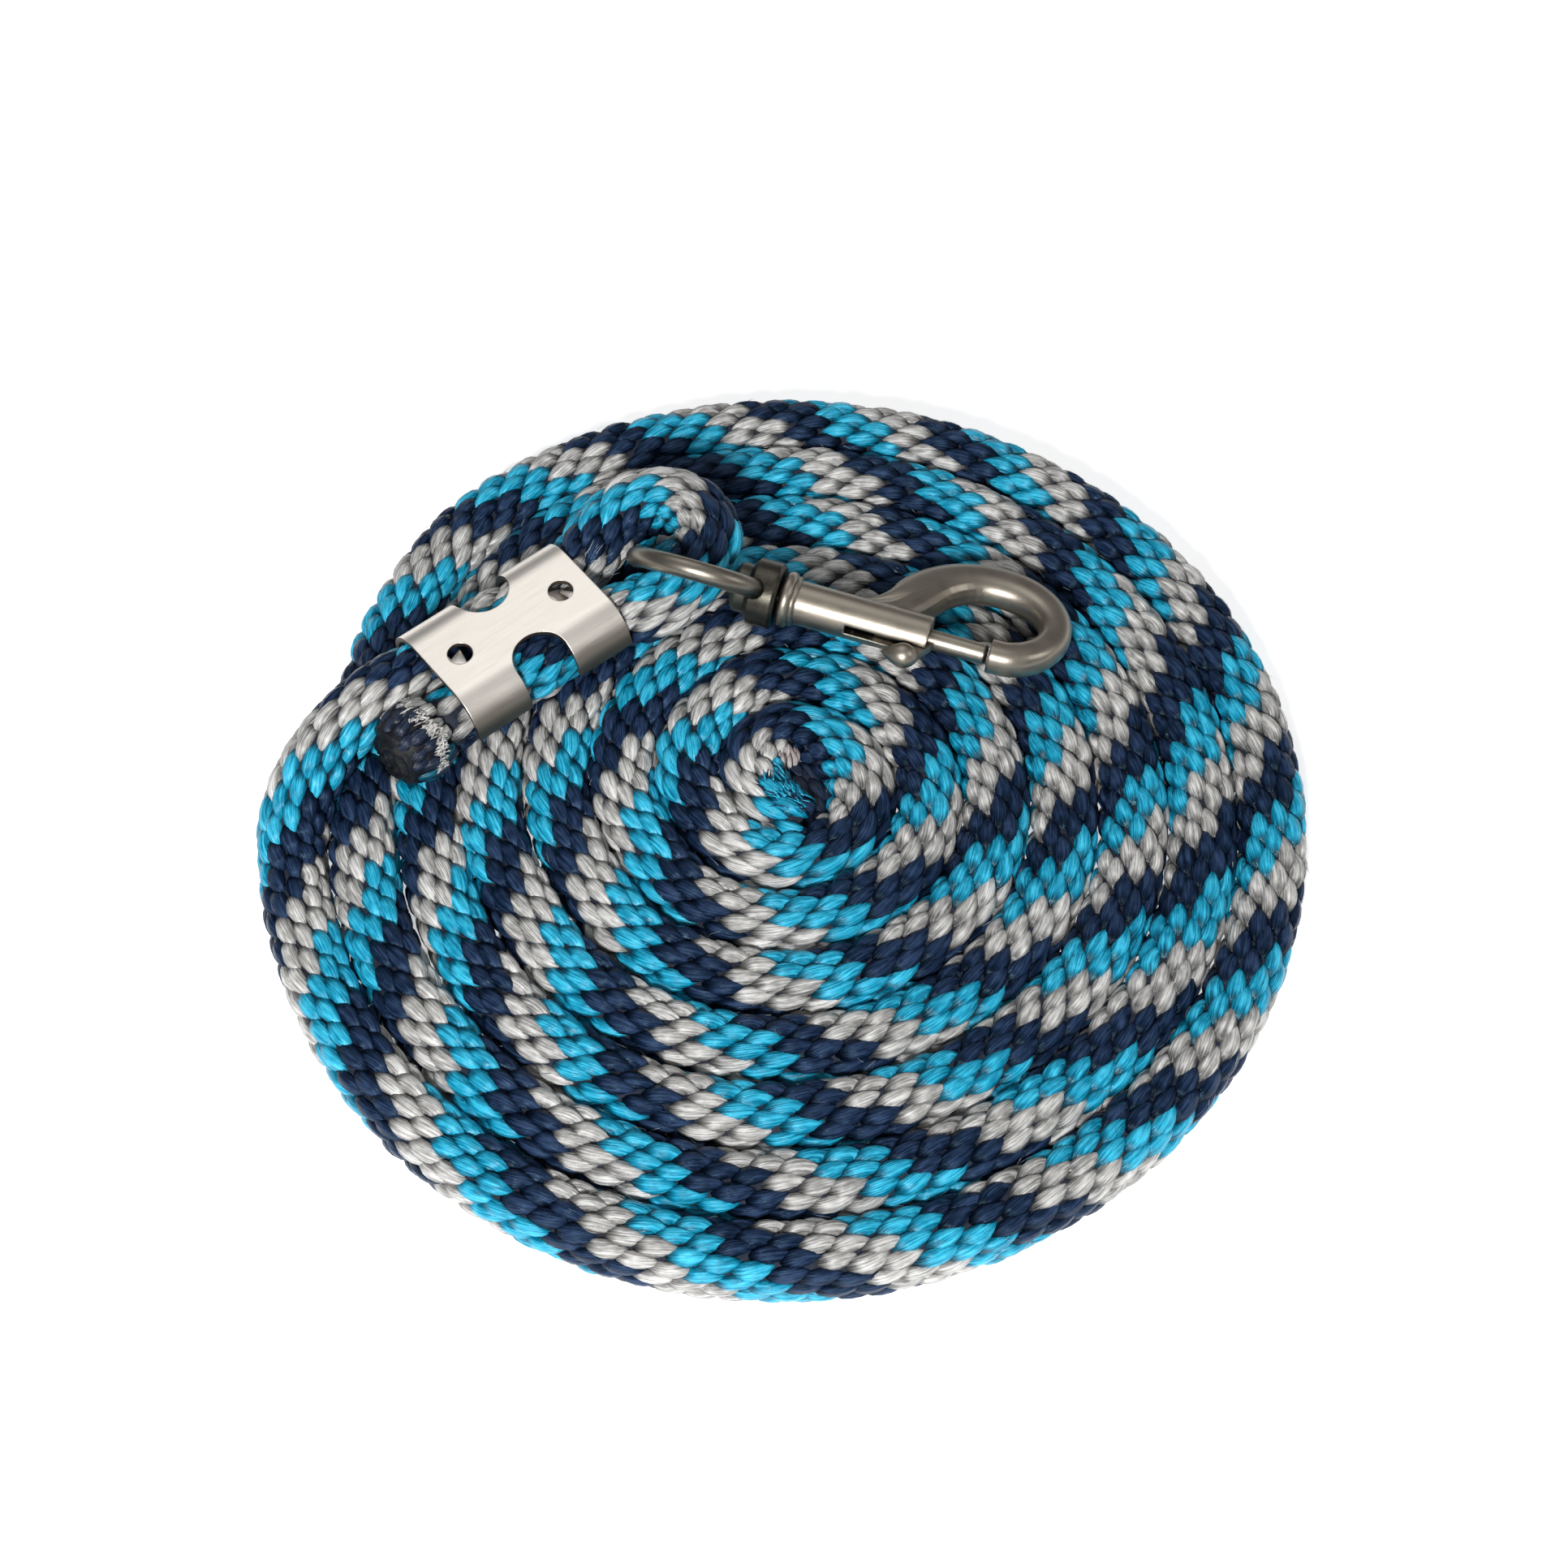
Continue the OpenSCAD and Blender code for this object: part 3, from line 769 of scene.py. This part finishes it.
cap = tail_cap()
tail_parts = [cap] + tail_yarns()
inner_parts = inner_end()
for o in [core] + pieces:
    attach(o, "rope")
for o in tail_parts + inner_parts:
    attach(o, "rope")
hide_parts("rope_coil", "rope_run")
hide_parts("rope_tail_seal")
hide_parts("rope_inner_seal")
print("ROPE", ROPE_LEN, "spiral", spiral_len, "stitches", ST_N)


# ---------------------------------------------------------------- metal
def metal(name, base, dark, rough=0.36, edge=0.0003, metallic=1.0, blacken=None):
    m, nt, b = new_mat(name)
    tc = node(nt, "ShaderNodeTexCoord")
    n1 = node(nt, "ShaderNodeTexNoise", in_Scale=260.0, in_Detail=6.0, in_Roughness=0.62)
    link(nt, tc.outputs["Object"], n1.inputs["Vector"])
    n2 = node(nt, "ShaderNodeTexNoise", in_Scale=2400.0, in_Detail=4.0)
    link(nt, tc.outputs["Object"], n2.inputs["Vector"])
    # the colour is darker in hollows and creases, from the ambient occlusion node
    ao = node(nt, "ShaderNodeAmbientOcclusion", samples=10, in_Distance=0.005)
    f = math_node(nt, "MULTIPLY_ADD", n1.outputs[0], 0.42, math_node(nt, "MULTIPLY", ao.outputs["AO"], 0.72))
    f = math_node(nt, "MULTIPLY_ADD", n2.outputs[0], 0.14, math_node(nt, "SUBTRACT", f, 0.05))
    if blacken is not None:
        # darker round one place on the part, in the part's own frame
        away = node(nt, "ShaderNodeVectorMath", operation="DISTANCE")
        link(nt, tc.outputs["Object"], away.inputs[0])
        away.inputs[1].default_value = blacken
        mr = node(nt, "ShaderNodeMapRange", in_1=0.0085, in_2=0.0125, in_3=0.55, in_4=0.0, interpolation_type="SMOOTHSTEP")
        link(nt, away.outputs["Value"], mr.inputs[0])
        f = math_node(nt, "SUBTRACT", f, mr.outputs[0])
    col = ramp(nt, f, [(0.22, dark), (0.60, tuple(0.5 * x + 0.5 * y for x, y in zip(base, dark))), (0.92, base)])
    link(nt, col, b.inputs["Base Color"])
    b.inputs["Metallic"].default_value = metallic
    r = math_node(nt, "MULTIPLY_ADD", n1.outputs[0], 0.22, rough - 0.11)
    link(nt, r, b.inputs["Roughness"])
    bev = node(nt, "ShaderNodeBevel", samples=6, in_Radius=edge)
    bump = node(nt, "ShaderNodeBump", in_Strength=0.16, in_Distance=0.00012)
    link(nt, n2.outputs[0], bump.inputs["Height"])
    link(nt, bev.outputs[0], bump.inputs["Normal"])
    link(nt, bump.outputs[0], b.inputs["Normal"])
    return m


def clamp_material():
    m, nt, b = new_mat("clamp_steel")
    tc = node(nt, "ShaderNodeTexCoord")
    mp = node(nt, "ShaderNodeMapping")
    mp.inputs["Rotation"].default_value = (0, 0, -CLAMP_TURN)
    link(nt, tc.outputs["Object"], mp.inputs["Vector"])
    st = node(nt, "ShaderNodeMapping")
    st.inputs["Scale"].default_value = (90.0, 2600.0, 2600.0)
    link(nt, mp.outputs[0], st.inputs["Vector"])
    brush = node(nt, "ShaderNodeTexNoise", in_Scale=1.0, in_Detail=4.0, in_Roughness=0.65)
    link(nt, st.outputs[0], brush.inputs["Vector"])
    cloud = node(nt, "ShaderNodeTexNoise", in_Scale=55.0, in_Detail=3.0)
    link(nt, tc.outputs["Object"], cloud.inputs["Vector"])
    geo = node(nt, "ShaderNodeNewGeometry")
    sep = node(nt, "ShaderNodeSeparateXYZ")
    link(nt, geo.outputs["Normal"], sep.inputs[0])
    # painted light and shade, set by which way the surface faces: the colour is lighter on the sheet's flat top and
    # browner and darker where the sheet curves down to the rope
    flat = node(nt, "ShaderNodeMapRange", in_1=0.15, in_2=0.98, in_3=0.0, in_4=1.0, interpolation_type="SMOOTHSTEP")
    link(nt, sep.outputs[2], flat.inputs[0])
    f = math_node(nt, "MULTIPLY_ADD", cloud.outputs[0], 0.25, math_node(nt, "MULTIPLY", flat.outputs[0], 0.85))
    f = math_node(nt, "MULTIPLY_ADD", brush.outputs[0], 0.16, math_node(nt, "SUBTRACT", f, 0.10))
    link(nt, ramp(nt, f, [(0.05, (0.14, 0.115, 0.09)), (0.48, (0.42, 0.37, 0.31)), (0.90, (0.94, 0.885, 0.81))]), b.inputs["Base Color"])
    b.inputs["Metallic"].default_value = 0.9
    link(nt, math_node(nt, "MULTIPLY_ADD", brush.outputs[0], 0.20, 0.28), b.inputs["Roughness"])
    bev = node(nt, "ShaderNodeBevel", samples=6, in_Radius=0.00035)
    bump = node(nt, "ShaderNodeBump", in_Strength=0.10, in_Distance=0.00008)
    link(nt, brush.outputs[0], bump.inputs["Height"])
    link(nt, bev.outputs[0], bump.inputs["Normal"])
    link(nt, bump.outputs[0], b.inputs["Normal"])
    return m


SNAP_METAL = metal("snap_nickel", (0.37, 0.33, 0.275), (0.035, 0.031, 0.023), rough=0.40, edge=0.0007)
BOSS_AT = SNAP_AT + in_snap(33) @ np.array([-6.1, 0, 0])
EYE_METAL = metal("eye_nickel", (0.27, 0.245, 0.205), (0.03, 0.029, 0.022), rough=0.38, edge=0.0005,
                  blacken=tuple(float(x) for x in BOSS_AT * MM))
BOSS_METAL = metal("boss_nickel", (0.12, 0.12, 0.10), (0.018, 0.018, 0.015), rough=0.42, edge=0.0005)
CLAMP_METAL = clamp_material()
SPRING = metal("spring_steel", (0.45, 0.45, 0.45), (0.10, 0.10, 0.10), rough=0.3)


def dress(n, mat):
    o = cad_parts[n]
    o.data.materials.clear()
    o.data.materials.append(mat)
    for p in o.data.polygons:
        p.use_smooth = True
    return o


dress("rope_clamp", CLAMP_METAL)
dress("swivel_eye", EYE_METAL)
dress("swivel_rivet", BOSS_METAL)
dress("snap_body", SNAP_METAL)
dress("snap_bolt", SNAP_METAL)

# ---------------------------------------------------------------- clamp prongs
def prong_flap(at, way, base_w, tip_w, reach, fall, sharp, shift):
    """Tongue of the clamp's sheet pressed down into one of its holes."""
    rings, half = 12, 0.24
    way = math.radians(way)
    ahead = np.array([math.cos(way), math.sin(way), 0.0])
    aside = np.array([-math.sin(way), math.cos(way), 0.0])
    g = np.linspace(0, 1, rings)
    run = -2.75 + reach * g
    z = 8.15 - fall * g ** sharp
    slope = np.gradient(z, run)
    wide = (base_w + (tip_w - base_w) * g) / 2
    section = [(-1, 0.55), (-0.82, 1), (0, 1.25), (0.82, 1), (1, 0.55), (1, -1), (-1, -1)]
    v = []
    for i in range(rings):
        n = np.array([0, 0, 1.0]) - slope[i] * ahead
        n /= np.linalg.norm(n)
        mid = from_clamp(at, 0, z[i]) + run[i] * ahead + shift * aside
        v += [mid + a * wide[i] * aside + b * half * n for a, b in section]
    k = len(section)
    j = np.arange(k)
    quads = np.concatenate([np.stack([i * k + j, (i + 1) * k + j, (i + 1) * k + (j + 1) % k, i * k + (j + 1) % k], -1)
                            for i in range(rings - 1)])
    v += [np.mean(v[:k], axis=0), np.mean(v[-k:], axis=0)]
    last = (rings - 1) * k
    tris = np.concatenate([np.stack([j, (j + 1) % k, np.full(k, len(v) - 2)], -1),
                           np.stack([last + (j + 1) % k, last + j, np.full(k, len(v) - 1)], -1)])
    return np.array(v), [quads, tris], np.zeros((len(v), 3))


def prongs():
    v, f, _ = joined([prong_flap(-13.5, 90, 4.8, 0.3, 4.8, 1.15, 1.7, 0.35),
                      prong_flap(13.5, 52, 5.4, 3.4, 5.0, 2.9, 1.2, 0.2),
                      prong_flap(13.5, 148, 2.2, 0.7, 3.3, 1.0, 1.6, -0.5)])
    o = mesh_object("clamp_prongs", v, f)
    # the clamp material's painted light and shade make a flap pale where it lies flatter and dark brown where it
    # slopes steeply
    o.data.materials.append(CLAMP_METAL)
    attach(o, "rope")


prongs()


# ---------------------------------------------------------------- hook casting
HOOK = [[45.36, 0, 3.56, 3.56], [48.8, 0.2, 3.6, 3.58], [50.8, 0.9, 3.65, 3.6], [53.0, 2.2, 3.65, 3.6], [55.9, 5.4, 3.55, 3.6],
        [57.7, 10.6, 3.55, 3.6], [57, 16, 3.75, 3.7], [53.9, 20.6, 4.15, 3.75], [49.2, 23.5, 4.6, 3.85],
        [43.8, 24.5, 4.8, 3.9], [38.2, 23.9, 4.9, 3.95], [32.9, 21.5, 5.05, 4.0], [28.7, 17.8, 5.2, 4.1],
        [25.7, 13.4, 5.2, 4.2], [23.5, 9.7, 4.4, 4.2], [20.6, 7.0, 2.9, 3.7], [17.2, 5.2, 1.4, 2.8],
        [13.4, 4.35, 0.6, 1.8]]


def hook_casting():
    q = through(HOOK, 10)
    n = 44
    tan = np.gradient(q[:, :2], axis=0)
    tan /= np.linalg.norm(tan, axis=1)[:, None]
    side = np.stack([tan[:, 1], -tan[:, 0]], -1)
    a = 2 * math.pi * (np.arange(n) + 0.5) / n
    c, d = np.sign(np.cos(a)) * np.abs(np.cos(a)) ** 0.80, np.sign(np.sin(a)) * np.abs(np.sin(a)) ** 0.86
    xy = q[:, None, :2] + (q[:, 2, None] * c)[..., None] * side[:, None]
    z = q[:, 3, None] * d
    local = np.concatenate([xy, z[..., None]], -1).reshape(-1, 3)
    v = SNAP_AT + local @ in_snap(-16).T
    m = len(q)
    i, j = np.meshgrid(np.arange(m - 1), np.arange(n), indexing="ij")
    i, j = i.ravel(), j.ravel()
    quads = np.stack([i * n + j, i * n + (j + 1) % n, (i + 1) * n + (j + 1) % n, (i + 1) * n + j], -1)
    caps = np.array([np.arange(n)[::-1], (m - 1) * n + np.arange(n)])
    o = mesh_object("snap_hook_casting", v, [quads, caps])
    o.data.materials.append(SNAP_METAL)
    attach(o, "snap")
    return o


hook_casting()


# ---------------------------------------------------------------- spring
def spring():
    """Closed-end coil spring behind the bolt."""
    n, m, turns, wire = 12, 260, 5.0, 0.3
    g = np.linspace(0, 1, m)
    # both end coils lie flat
    x = np.interp(g, [0, 0.10, 0.90, 1.0], [2.12, 2.5, 18.9, 19.28])
    an = 2 * math.pi * turns * g
    mid = np.stack([x, 2.2 * np.cos(an), 2.2 * np.sin(an)], -1)
    out = np.stack([0 * g, np.cos(an), np.sin(an)], -1)
    tan = np.gradient(mid, axis=0)
    tan /= np.linalg.norm(tan, axis=1)[:, None]
    side = np.cross(tan, out)
    side /= np.linalg.norm(side, axis=1)[:, None]
    b = 2 * math.pi * np.arange(n) / n
    local = (mid[:, None] + wire * np.cos(b)[None, :, None] * out[:, None]
             + wire * np.sin(b)[None, :, None] * side[:, None]).reshape(-1, 3)
    turn = in_snap(-16)
    i, j = np.meshgrid(np.arange(m - 1), np.arange(n), indexing="ij")
    i, j = i.ravel(), j.ravel()
    quads = np.stack([i * n + j, (i + 1) * n + j, (i + 1) * n + (j + 1) % n, i * n + (j + 1) % n], -1)
    caps = np.array([np.arange(n), ((m - 1) * n + np.arange(n))[::-1]])
    o = mesh_object("bolt_coil_spring", SNAP_AT + local @ turn.T, [quads, caps])
    o.data.materials.append(SPRING)
    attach(o, "bolt")
    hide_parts("bolt_spring")
    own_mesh(o)


spring()

# ---------------------------------------------------------------- studio
def studio():
    me = bpy.data.meshes.new("floor")
    me.from_pydata([(-3, -3, -0.0002), (3, -3, -0.0002), (3, 3, -0.0002), (-3, 3, -0.0002)], [], [(0, 1, 2, 3)])
    o = bpy.data.objects.new("floor", me)
    scene.collection.objects.link(o)
    m, nt, b = new_mat("floor")
    b.inputs["Base Color"].default_value = (0.93, 0.93, 0.93, 1)
    b.inputs["Roughness"].default_value = 0.9
    b.inputs["Specular IOR Level"].default_value = 0.1
    b.inputs["Emission Color"].default_value = (1, 1, 1, 1)
    b.inputs["Emission Strength"].default_value = 0.55
    me.materials.append(m)
    w = bpy.data.worlds.new("studio")
    w.use_nodes = True
    wt = w.node_tree
    bg = wt.nodes["Background"]
    tc = wt.nodes.new("ShaderNodeTexCoord")
    sep = wt.nodes.new("ShaderNodeSeparateXYZ")
    wt.links.new(tc.outputs["Generated"], sep.inputs[0])
    sky = ramp(wt, sep.outputs[2], [(0.0, (0.16, 0.16, 0.17)), (0.45, (0.34, 0.34, 0.35)), (1.0, (0.95, 0.95, 0.95))])
    wt.links.new(sky, bg.inputs[0])
    bg.inputs[1].default_value = 0.39
    scene.world = w

    def area(name, at, look, size, power, colour=(1, 1, 1)):
        d = bpy.data.lights.new(name, "AREA")
        d.shape, d.size, d.energy, d.color = "DISK", size, power, colour
        ob = bpy.data.objects.new(name, d)
        scene.collection.objects.link(ob)
        ob.location = at
        ob.rotation_mode = "QUATERNION"
        ob.rotation_quaternion = (Vector(look) - Vector(at)).to_track_quat("-Z", "Y")

    area("key", (-0.20, -0.82, 0.76), (0, 0, 0), 0.19, 13.5)
    area("back", (-0.08, 0.64, 0.98), (-0.03, 0, 0), 0.75, 1.45)
    area("side", (0.9, -0.1, 0.6), (0, 0, 0), 0.4, 1.4)


studio()
scene.view_settings.view_transform = "Standard"
scene.view_settings.look = "None"
